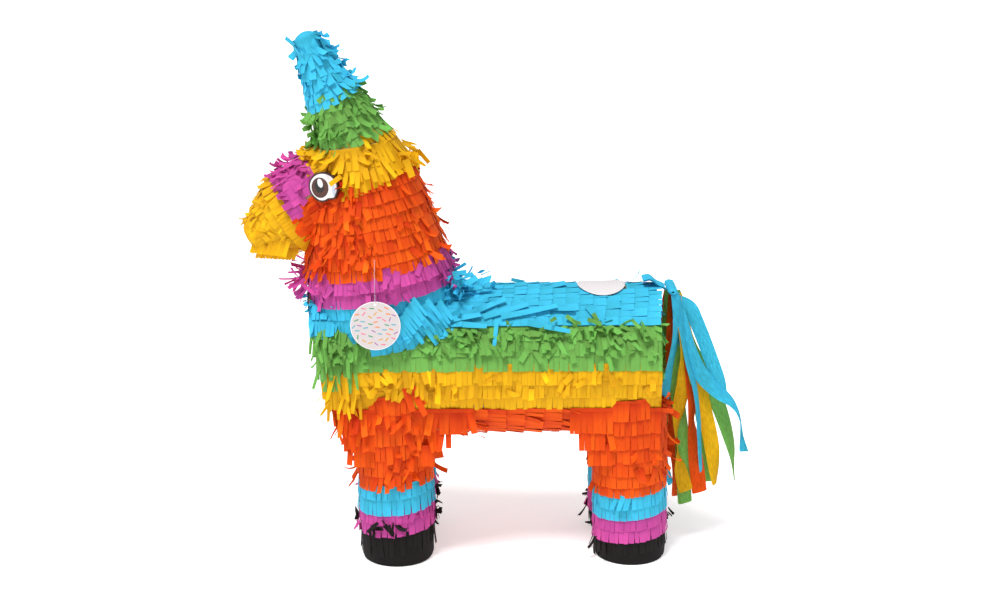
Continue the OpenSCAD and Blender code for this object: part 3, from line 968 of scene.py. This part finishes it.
def make_muzzle_yellow():
    paper = Paper()
    for s in (-7, 3):
        muzzle_row(paper, s, 11, mess=0.4, reach=1.3, width=4.4, swell=1.08)
    for s in (14, 23, 32, 39):
        muzzle_row(paper, s, 9.5, samples=90, mess=0.5, reach=1.2 if s < 39 else 0.85, base=1.3, width=4.2,
                   swell=1.08)
    ruffle(paper, MUZZLE, 2, 34, 46, 10, toward=1, swing=0.7, width=3.8)
    for side in SIDES:
        for front, back, length in LIP_ROWS:
            line = straight_line(front * np.array([1, side, 1]), back * np.array([1, side, 1]),
                                 (-0.3, 0, -0.95), (-0.3, side, -0.2))
            lay_row(paper, line, length, mess=0.35, width=4.0, margin=False, base=2.4, reach=1.0)
    tufts(paper, (-236, -8, 386), (5, 8, 3), (-0.5, 0, 0.7), 8, 9, width=3)
    paper.make_crepe("muzzle_yellow", "yellow")


def make_ear_green():
    paper = Paper()
    for s in (56, 47, 37, 28, 17):
        lay_row(paper, EAR.ring(s, samples=110), 11, mess=0.8, keep=off_head, flare=5, reach=1.45, width=5.6,
                swell=1.12)
    ruffle(paper, EAR, 22, 66, 80, 13, keep=off_head)
    paper.make_crepe("ear_green", "green")


def make_ear_blue():
    paper = Paper()
    for s in (120, 113, 104, 94, 83, 72, 64):
        lay_row(paper, EAR.ring(s, samples=80), 11, mess=0.8, reach=1.35, width=6.0, base=2.0, flare=6,
                swell=1.2)
    ruffle(paper, EAR, 68, 121, 75, 12, swing=1.1)
    paper.make_crepe("ear_blue", "blue")


# ---- fringe on the legs

LEG_ROWS = {
    # heights where the rows start, the last one where they end
    "front": {"orange": (184, 170, 154, 138, 122, 105, 89), "blue": (89, 78, 62), "magenta": (62, 51, 38)},
    "hind": {"orange": (178, 163, 148, 132, 117, 103, 90, 79), "blue": (79, 66, 54), "magenta": (54, 42, 29)},
}
LEG_MESS = {"front": 0.6, "hind": 0.2}
LEG_BASE = {"front": 4.2, "hind": 3.6}
LEG_LOOSE = {"front": 46, "hind": 16}
LEG_TILT = 3.0


def make_leg(leg):
    """Bands of fringe from the body down to the hoof, with loose tabs on the orange and black tufts."""
    end, side = leg.split("_")
    tube, base, (x, y) = LEGS[leg], LEG_BASE[end], LEG_AT[leg]
    for colour, tops in LEG_ROWS[end].items():
        paper = Paper()
        mess = LEG_MESS[end] * (0.15 if colour == "blue" else 1.0)
        for top, bottom in zip(tops[:-1], tops[1:]):
            lay_row(paper, tube.ring(top, samples=90, tilt=LEG_TILT), top - bottom, mess=mess, keep=off_body,
                    reach=1.22, swell=1.12, base=base)
        if colour == "orange":
            ruffle(paper, tube, 104, 176, LEG_LOOSE[end], 17, keep=off_body, base=base + 2, width=7,
                   swing=0.5)
        paper.make_crepe(f"{leg}_{colour}", colour)
    black = Paper()
    top = LEG_ROWS[end]["magenta"][-1] + 5
    out = -1 if side == "near" else 1
    lay_row(black, tube.ring(top, samples=90, tilt=LEG_TILT), top - 12, mess=0.25, reach=1.0, base=base - 1.2,
            width=5.5, flare=-8, swell=1.02)
    lay_row(black, tube.ring(top - 9, samples=90), top - 12, mess=0.4, reach=1.0, base=base - 1.0,
            width=5.5, flare=-24, swell=1.04)
    lay_row(black, tube.ring(16, samples=90), 15, mess=0.1, reach=1.0, base=2.2, width=6.0, flare=-30)
    tufts(black, (x + 37, y, top + 6), (2, 5, 6), (0.3, 0, -0.8), 14 if end == "front" else 5, 9, width=4.4)
    tufts(black, (x - 36, y + 6, top), (2, 5, 4), (-0.3, 0, -0.8), 7, 8, width=4.4)
    if end == "front":
        tufts(black, (x - 9, y + out * 41, top + 5), (9, 1, 3), (0, 0.25 * out, -1), 10, 14, width=5.0)
    black.make_crepe(f"{leg}_black", "black")


# ---- turned pieces: ear tip, muzzle cap and knot


def turned(node, colour, tube, at, profile, folds, depth):
    """A closed crepe form turned about a tube's line at a distance along it, from stops of (distance,
    radius, share of the folds). depth is that of its gathered folds, as a share of the radius."""
    a = np.linspace(0, 2 * math.pi, 49)
    gather = 1 + depth * np.sin(a * folds + 1.3 * np.sin(a * 2)) + depth * 0.6 * np.sin(a * (folds * 2 + 1))
    radial = swung(tube.forward, NEAR, a)
    origin = tube.origin + tube.axis * at
    rows, lays = [], []
    for s, r, share in profile:
        rows.append(origin + tube.axis * s + radial * (r * (1 + (gather - 1) * share))[:, None])
        lays.append(stacked(a * 12, s))
    paper = Paper()
    paper.add_sheet(np.stack(rows), np.stack(lays))
    piece = paper.make_crepe(node, colour)
    weld(piece)
    soften(piece)


TIP_R = 15.2
CAP_PROFILE = [(-6, 18.4, 1), (-1, 17.8, 1), (1.4, 16.4, 1), (2.6, 13.5, 0.7), (3.2, 8, 0.5), (3.4, 0.02, 0)]


def make_ear_tip():
    """The crepe gathered over the ear's round end."""
    profile = [(-12, 15.6, 1.0), (-5, 15.4, 1.0)]
    for a in np.linspace(0, math.pi / 2 - 0.02, 9):
        profile.append((math.sin(a) * TIP_R, math.cos(a) * TIP_R, math.cos(a) ** 0.5))
    turned("ear_tip", "blue", EAR, EAR_TOP, profile + [(TIP_R, 0.02, 0)], 7, 0.045)


def make_muzzle_cap():
    turned("muzzle_cap", "yellow", MUZZLE, MUZZLE_END - 2, CAP_PROFILE, 11, 0.02)


# ---- flat printed pieces


def placed(x, y, turn, flat):
    """A flat outline turned by an angle and moved to a point."""
    c, s = math.cos(turn), math.sin(turn)
    return stacked(x + flat[:, 0] * c - flat[:, 1] * s, y + flat[:, 0] * s + flat[:, 1] * c)


def ellipse(x, y, rx, ry, turn=0.0, count=48):
    a = np.linspace(0, 2 * math.pi, count, endpoint=False)
    return placed(x, y, turn, stacked(rx * np.cos(a), ry * np.sin(a)))


def plates(node, layers, place, materials, body):
    """Thin stacked plates. Each layer is (outline, lowest, highest, material index) in a local frame
    whose origin and x, y and z directions are place."""
    origin, right, up, out = (np.array(v, dtype=float) for v in place)
    points, faces, paints = [], [], []
    for outline, low, high, paint in layers:
        n, start = len(outline), len(points)
        flat = origin + outline[:, :1] * right + outline[:, 1:] * up
        for height in (low, high - 0.06, high):
            inner = 0.992 if height == high else 1.0
            centre = flat.mean(0)
            points.extend(centre + (flat - centre) * inner + out * height)
        for ring in (start, start + n):
            for i in range(n):
                j = (i + 1) % n
                faces.append([ring + i, ring + j, ring + n + j, ring + n + i])
        faces.append([start + 2 * n + i for i in range(n)])
        faces.append([start + i for i in reversed(range(n))])
        paints += [paint] * (2 * n + 2)
    mesh = bpy.data.meshes.new(f"{node}_print")
    mesh.from_pydata((np.array(points) * MM).tolist(), [], faces)
    mesh.polygons.foreach_set("material_index", paints)
    mesh.update()
    finish_piece(mesh, f"{node}_print", materials, body, [node])


EYE_PRINTS = [
    print_material("print_rim", (0.028, 0.006, 0.006), 0.35),
    WHITE_PRINT,
    print_material("print_iris", (0.075, 0.022, 0.012), 0.3),
    print_material("print_pupil", (0.006, 0.004, 0.004), 0.25),
    print_material("print_shade", (0.50, 0.60, 0.74)),
]
RIM, WHITE, IRIS, PUPIL, SHADE = range(5)


def eye_outline(grow):
    """An oval eye whose lower back edge is cut flat, with a dip, between a low point and a corner."""
    a = np.linspace(-math.pi, math.pi, 96, endpoint=False)

    def bump(at, wide):
        return np.exp(-(((np.degrees(a) - at) / wide) ** 2))

    r = 1 - 0.12 * bump(-68, 15) + 0.06 * bump(-42, 9) + 0.03 * bump(-106, 12)
    return stacked((EYE_HALF[0] + grow) * r * np.cos(a), (EYE_HALF[1] + grow) * r * np.sin(a))


def make_eye(side):
    """A printed card eye. side is -1 near, 1 far."""
    turn, tip = EYE_TURN, EYE_TIP
    out = np.array([-math.sin(turn), side * math.cos(turn) * math.cos(tip), math.cos(turn) * math.sin(tip)])
    right = np.array([math.cos(turn), side * math.sin(turn) * math.cos(tip), math.sin(turn) * math.sin(tip)])
    up = np.cross(out, right) * -side
    up = up if up[2] > 0 else -up
    layers = [
        (eye_outline(0.0), -2.2, 1.2, RIM),
        (eye_outline(-1.7), 1.2, 1.32, WHITE),
        (ellipse(12.4, -2.4, 1.9, 6.0, math.radians(6)), 1.32, 1.36, SHADE),
        (ellipse(-3.9, -0.8, 10.2, 10.2), 1.32, 1.42, RIM),
        (ellipse(-3.9, -0.8, 9.5, 9.5), 1.42, 1.5, IRIS),
        (ellipse(-4.6, 0.6, 5.6, 6.4, math.radians(14)), 1.5, 1.58, PUPIL),
        (ellipse(-3.5, 3.8, 3.0, 4.6, math.radians(22)), 1.58, 1.68, WHITE),
    ]
    if side > 0:
        layers = [(outline[::-1], *rest) for outline, *rest in layers]
    node = "eye_near" if side < 0 else "eye_far"
    plates(node, layers, (EYE_AT * [1, side, 1], right, up, out), EYE_PRINTS, "donkey")


TAG_HALF = 0.4
TAG_HOLE_DROP = 3.0
TAG_HOLE_R = 1.3
TAG_RIM = 0.5
DASH_COUNT = 62
DASH_APART = 5.3
DASH_INKS = {
    "print_dash_green": (0.05, 0.30, 0.12),
    "print_dash_blue": (0.08, 0.38, 0.50),
    "print_dash_orange": (0.80, 0.20, 0.02),
    "print_dash_pink": (0.74, 0.16, 0.26),
    "print_dash_mustard": (0.66, 0.34, 0.02),
    "print_dash_purple": (0.38, 0.14, 0.36),
}


def dash(x, y, turn, length=4.9, width=1.15):
    """Outline of one rounded dash."""
    a = np.linspace(-math.pi / 2, math.pi / 2, 5)
    cap = stacked(length / 2 - width / 2 + np.cos(a) * width / 2, np.sin(a) * width / 2)
    return placed(x, y, turn, np.concatenate([cap, -cap]))


def dash_places():
    """Dashes spread over the tag, none touching another or the edge."""
    found = []
    for _ in range(6000):
        x, y = rng.uniform(-TAG_R, TAG_R, 2)
        apart = all(math.hypot(x - p, y - q) > DASH_APART for p, q, _ in found)
        if math.hypot(x, y) < TAG_R - 3.2 and apart:
            found.append((x, y, rng.normal(0, 0.45)))
        if len(found) == DASH_COUNT:
            break
    return found


def tag_layer(face, outline, low, high, paint):
    """A layer on one face (1 or -1) of the tag, between two heights above its middle."""
    return (outline, *sorted((face * low, face * high)), paint)


def make_tag():
    """A round card tag with a sprinkle print on both faces."""
    inks = [print_material(name, colour) for name, colour in DASH_INKS.items()]
    card = print_material("print_tag", (0.60, 0.54, 0.54))
    edge = print_material("print_tag_edge", (0.85, 0.83, 0.84))
    layers = [(ellipse(0, 0, TAG_R, TAG_R, count=96), -TAG_HALF + 0.02, TAG_HALF - 0.02, 1)]
    for face in (1, -1):
        rim = ellipse(0, 0, TAG_R - TAG_RIM, TAG_R - TAG_RIM, count=96)
        layers.append(tag_layer(face, rim, TAG_HALF - 0.03, TAG_HALF, 0))
        for i, (x, y, turn) in enumerate(dash_places()):
            if math.hypot(x, y - TAG_R + TAG_HOLE_DROP) > 3.5:
                layers.append(tag_layer(face, dash(x, y, turn), TAG_HALF, TAG_HALF + 0.07, 2 + i % len(inks)))
        eyelet = ellipse(0, TAG_R - TAG_HOLE_DROP, TAG_HOLE_R, TAG_HOLE_R, count=24)
        layers.append(tag_layer(face, eyelet, TAG_HALF, TAG_HALF + 0.1, 1))
    plates("swing_tag", layers, (TAG_AT, (1, 0, 0), (0, 0, 1), (0, -1, 0)), [card, edge, *inks], "tag")


# ---- filling hole: crepe patch and sticker on the card flap


SKIN_R = BODY_R + 4.3  # over the fringe of the back, where the sticker lies
FILL_TURN = math.atan2(FILL_AT[1], BODY_R)
PATCH_R = 21
PATCH_ROWS = (-19.5, -7.5, 4.5, 16.0)


def fill_point(x, turn, radius):
    """A point on the body near the filling hole; turn is the angle from the hole's centre line."""
    angle = turn + FILL_TURN
    return np.array([x, math.sin(angle) * radius, BODY_Z + math.cos(angle) * radius])


def make_sticker():
    """A disc wrapped over the body, its rim lifted a little in places."""
    rings, around = 14, 72
    grids = []
    for top in (True, False):
        rows = []
        for i in range(rings + 1):
            share = min(1, max(i / rings, 0.001))
            row = []
            for a in np.linspace(0, 2 * math.pi, around + 1):
                d = STICKER_R * share
                rise = 0.7 * share**6 * (0.45 + 0.55 * math.sin(a * 2 + 0.7))
                height = (SKIN_R + 0.4 if top else SKIN_R - 0.05) + rise - (0.15 * share**12 if top else 0)
                row.append(fill_point(FILL_AT[0] + math.cos(a) * d, math.sin(a) * d / BODY_R, height))
            rows.append(row)
        grids.append(np.array(rows if top else rows[::-1]))
    grid = np.concatenate(grids)
    paper = Paper()
    paper.add_sheet(grid, grid[..., :2] - FILL_AT)
    weld(paper.make("fill_sticker_print", [STICKER], "flap", ["fill_sticker"]))


def make_fill_patch():
    """The round patch of the back's fringe that is cut out with the flap."""
    paper = Paper()
    middle_angle = math.pi - (math.pi / 2 - FILL_TURN)
    for x in PATCH_ROWS:
        half = math.sqrt(max(PATCH_R**2 - max(abs(x), abs(x + 6)) ** 2, 30)) / BODY_R
        line = hoop_line(FILL_AT[0] + x, middle_angle - half, middle_angle + half)
        lay_row(paper, line, min(12, 20 - x), mess=0.1, width=7, reach=1.1, base=GLUED + 0.6)
    paper.make_crepe("fill_patch", "blue", "flap")


# ---- tail


def curve_through(points, samples):
    """A smooth curve through the points (Catmull-Rom), evenly stepped in parameter."""
    p = np.array(points, dtype=float)
    p = np.concatenate([[2 * p[0] - p[1]], p, [2 * p[-1] - p[-2]]])
    out = []
    for t in np.linspace(0, len(p) - 3 - 1e-6, samples):
        i, f = int(t), t - int(t)
        a, b, c, d = p[i : i + 4]
        square, cube = 2 * a - 5 * b + 4 * c - d, 3 * b - a - 3 * c + d
        out.append(0.5 * (2 * b + (c - a) * f + square * f**2 + cube * f**3))
    return np.array(out)


STREAMER_COLUMNS = 7


def make_streamer(name, width, route):
    """A crepe streamer. route: (x, y, z, turn) with turn the angle in degrees that its face is turned
    from facing the near side. Its name starts with its colour."""
    colour = name.split("_")[0]
    samples = 12 * (len(route) - 1) + 1
    path = curve_through(route, samples)
    centre, turn = path[:, :3], np.radians(path[:, 3])
    heading = unit(np.gradient(centre, axis=0))
    face = unit(NEAR - heading * (heading @ NEAR)[:, None])
    across = np.cross(heading, face)
    wide, out = swung(across, face, turn), swung(face, -across, turn)
    run = run_along(centre)
    cols = np.linspace(-1, 1, STREAMER_COLUMNS)
    swell = 0.55 + 0.45 * np.clip(run / 30, 0, 1)
    ripple = rng.uniform(0, 6)
    grid = []
    for c in cols:
        bow = 1.3 * (1 - c**2) + 0.35 * np.sin(run / 9 + ripple + c * 2) * abs(c)
        bow = bow * np.clip(run / 20, 0, 1)
        grid.append(centre + wide * (c * width / 2 * swell)[:, None] + out * bow[:, None])
    grid = np.stack(grid, 1)
    grid[-1] += heading[-1] * (cols * rng.uniform(-2.5, 2.5))[:, None]
    lay = stacked((cols * width / 2 + rng.uniform(0, 300))[None], run[:, None])
    paper = Paper()
    paper.add_sheet(grid, lay, rng.uniform(0.95, 1.05))
    piece = paper.make(f"streamer_{name}", [STREAMER_CREPE[colour]], "tail",
                       [f"tail_{colour}"])
    soften(piece)


STREAMERS = [
    # name, width, route
    ("blue_a", 14,
     [(180, -19, 279, 10), (183, -21, 258, 35), (182, -22, 232, 55), (177, -22, 203, 50), (172, -21, 166, 40),
      (170, -20, 134, 45), (173, -20, 100, 50), (181, -20, 70, 65)]),
    ("blue_b", 16,
     [(181, -14, 278, 20), (187, -15, 250, 10), (195, -15, 222, -10), (209, -14, 192, 0), (227, -13, 172, 30),
      (244, -13, 158, 62), (252, -13, 144, 80), (256, -14, 121, 98), (259, -14, 103, 120)]),
    ("blue_c", 15,
     [(180, -6, 279, 80), (187, -7, 271, 60), (197, -8, 262, 20), (203, -8, 250, -5), (213, -8, 226, 0),
      (223, -8, 200, 5), (230, -8, 180, 10), (233, -8, 165, 20)]),
    ("blue_d", 12,
     [(184, -16, 276, 30), (189, -18, 240, 50), (196, -18, 204, 62), (204, -18, 176, 58), (208, -18, 150, 66),
      (210, -18, 122, 60), (213, -18, 84, 72)]),
    ("green_a", 15,
     [(177, 8, 277, 0), (178, 9, 248, 10), (176, 9, 215, 15), (177, 9, 180, 30), (181, 9, 140, 50),
      (185, 9, 110, 70)]),
    ("green_b", 15,
     [(183, -10, 276, 40), (187, -11, 245, 30), (189, -11, 215, 20), (185, -11, 183, 20), (189, -10, 150, 15),
      (193, -10, 118, 0), (195, -10, 84, 8), (198, -10, 44, 0)]),
    ("green_c", 16,
     [(184, 0, 277, 20), (192, 0, 243, 35), (203, 0, 212, 40), (217, 0, 186, 20), (229, 0, 158, 10),
      (240, 0, 128, 28), (248, 0, 98, 60), (251, 0, 68, 84)]),
    ("green_d", 15,
     [(182, 6, 276, 10), (190, 6, 240, 20), (201, 6, 200, 30), (211, 6, 160, 25), (219, 5, 115, 20),
      (226, 5, 63, 5)]),
    ("yellow_a", 16,
     [(184, -15, 276, 40), (188, -16, 245, 55), (192, -17, 212, 55), (193, -17, 186, 10), (189, -17, 160, 20),
      (186, -16, 133, 62), (187, -16, 108, 84), (192, -16, 82, 30), (198, -16, 60, 8)]),
    ("yellow_b", 16,
     [(185, -5, 275, 20), (191, -6, 245, 30), (199, -6, 215, 30), (208, -6, 184, 20), (216, -6, 150, 10),
      (224, -6, 115, 0), (228, -6, 88, 30), (230, -6, 64, 70)]),
    ("orange_a", 16,
     [(185, -12, 275, 50), (190, -13, 240, 55), (195, -13, 205, 65), (200, -14, 178, 50), (203, -13, 158, 40),
      (202, -13, 136, 60), (206, -12, 108, 25), (210, -12, 80, 0), (213, -12, 57, 0)]),
    ("orange_b", 15,
     [(180, 3, 276, 20), (181, 2, 240, 30), (180, 1, 200, 40), (183, 0, 160, 50), (184, -2, 120, 40),
      (188, -3, 82, 50), (190, -3, 50, 40)]),
    ("red_a", 15,
     [(177, 14, 276, 0), (176, 14, 245, 5), (178, 12, 210, 10), (180, 10, 170, 0), (182, 8, 125, 8),
      (184, 6, 90, 10)]),
]


KNOT_ROWS = 25


def make_knot():
    """The gathered roll that the streamers are tied into."""
    low, high = box("tail_knot")
    radius, half = (high[0] - low[0]) / 2, (high[1] - low[1]) / 2
    end_shares = {0: 0.25, 1: 0.8, KNOT_ROWS - 2: 0.8, KNOT_ROWS - 1: 0.25}
    a = np.linspace(0, 2 * math.pi, 37)
    rows = []
    for k, y in enumerate(np.linspace(-half, half, KNOT_ROWS)):
        folds = 0.84 + 0.05 * np.sin(a * 7 + y * 0.12) + 0.06 * math.sin(y * 0.55)
        r = radius * end_shares.get(k, 1.0) * folds
        rows.append(stacked(KNOT_AT[0] + r * np.cos(a), y, KNOT_AT[2] - 1 + 0.75 * r * np.sin(a)))
    grid = np.array(rows)[::-1]
    paper = Paper()
    paper.add_sheet(grid, stacked(grid[..., 1], a * 6), 0.95)
    soften(paper.make_crepe("tail_knot", "blue", "tail"))


def make_tail_tab():
    """The folded crepe tab, glued to the rump's top edge, that carries the knot."""
    low, high = box("tail_tab")
    y = np.linspace(low[1] + 1, high[1] - 1, 13)
    wave = 0.5 * np.sin(y * 0.8) + 0.3 * np.sin(y * 1.9 + 1)
    route = curve_through([
        (low[0] + 1, 0, high[2] - 0.5),
        (low[0] + 9, 0, high[2] + 0.5),
        (RUMP_X + 2.5, 0, BODY_Z + BODY_R + 4.5),
        (RUMP_X + 7, 0, KNOT_AT[2] + 1.5),
        (KNOT_AT[0] - 6.2, 0, KNOT_AT[2] - 0.5),
    ], 22)
    grid = np.array([stacked(p[0], y, p[2] + wave * 0.8 + 0.3) for p in route])
    lay = stacked(grid[..., 1], grid[..., 0])
    paper = Paper()
    paper.add_sheet(grid, lay)
    # the lower sheet of the fold is darkened a little, painted shade under the fold
    paper.add_sheet(grid - [0, 0, 1.2], lay, 0.92)
    paper.make_crepe("tail_tab", "blue")


# ---- card nodes that stay, and the studio

CARD_NODES = [
    "barrel_shell", "chest_panel", "rump_panel", "neck_shell", "head_shell", "ear_shell", "muzzle_shell",
    "fill_flap", *[f"leg_{name}" for name in LEG_AT],
]
FOOT_NODES = [f"foot_{name}" for name in LEG_AT]
FLOOR_HALF = 40.0  # metres
SUN_TOWARD = Vector((0.33, 0.58, -1.6))


def dress(names, material):
    for name in names:
        data = nodes[name].data
        data.materials.clear()
        data.materials.append(material)


def make_studio():
    """A white floor, white surroundings and a soft sun from high up on the near left."""
    data = bpy.data.meshes.new("studio_floor")
    r = FLOOR_HALF
    data.from_pydata([(-r, -r, 0), (r, -r, 0), (r, r, 0), (-r, r, 0)], [], [(0, 1, 2, 3)])
    floor = add_object("studio_floor", data)
    material, _, shader = new_material("studio_floor")
    set_inputs(shader, {"Base Color": (0.93, 0.93, 0.935, 1), "Roughness": 0.9,
                        "Emission Color": (1, 1, 1, 1), "Emission Strength": 0.5})
    data.materials.append(material)
    world = bpy.data.worlds.new("studio")
    world.use_nodes = True
    set_inputs(world.node_tree.nodes["Background"], {"Color": (1, 1, 1, 1), "Strength": 0.43})
    bpy.context.scene.world = world
    bpy.context.scene.view_settings.view_transform = "Standard"
    data = bpy.data.lights.new("sky_panel", "SUN")
    data.energy, data.angle = 2.9, math.radians(20)
    add_object("sky_panel", data).rotation_euler = SUN_TOWARD.to_track_quat("-Z", "Y").to_euler()


CAMERA_AZIMUTH = math.radians(-1.0)
CAMERA_AWAY = 1.8
CAMERA_HEIGHT = 0.76
CAMERA_PITCH = math.radians(15.3)
CAMERA_LENS = 64.44


def make_camera():
    data = bpy.data.cameras.new("camera")
    data.lens = CAMERA_LENS
    data.sensor_width = 36
    camera = add_object("camera", data)
    a, p = CAMERA_AZIMUTH, CAMERA_PITCH
    camera.location = (CAMERA_AWAY * math.sin(a), -CAMERA_AWAY * math.cos(a), CAMERA_HEIGHT)
    ahead = Vector((-math.sin(a) * math.cos(p), math.cos(a) * math.cos(p), -math.sin(p)))
    camera.rotation_euler = ahead.to_track_quat("-Z", "Y").to_euler()
    bpy.context.scene.camera = camera


make_camera()
make_studio()
dress(CARD_NODES, CARD)
dress(FOOT_NODES, BLACK_CARD)
dress(["tag_fastener"], nylon_material())
make_back_blue()
make_body_green()
make_body_yellow()
make_belly_orange()
make_neck_blue()
make_neck_magenta()
make_neck_orange()
make_head_yellow()
make_nose_magenta()
make_muzzle_yellow()
make_ear_green()
make_ear_blue()
for leg_name in LEG_AT:
    make_leg(leg_name)
make_ear_tip()
make_muzzle_cap()
make_eye(-1)
make_eye(1)
make_tag()
make_fill_patch()
make_sticker()
make_knot()
make_tail_tab()
for streamer in STREAMERS:
    make_streamer(*streamer)
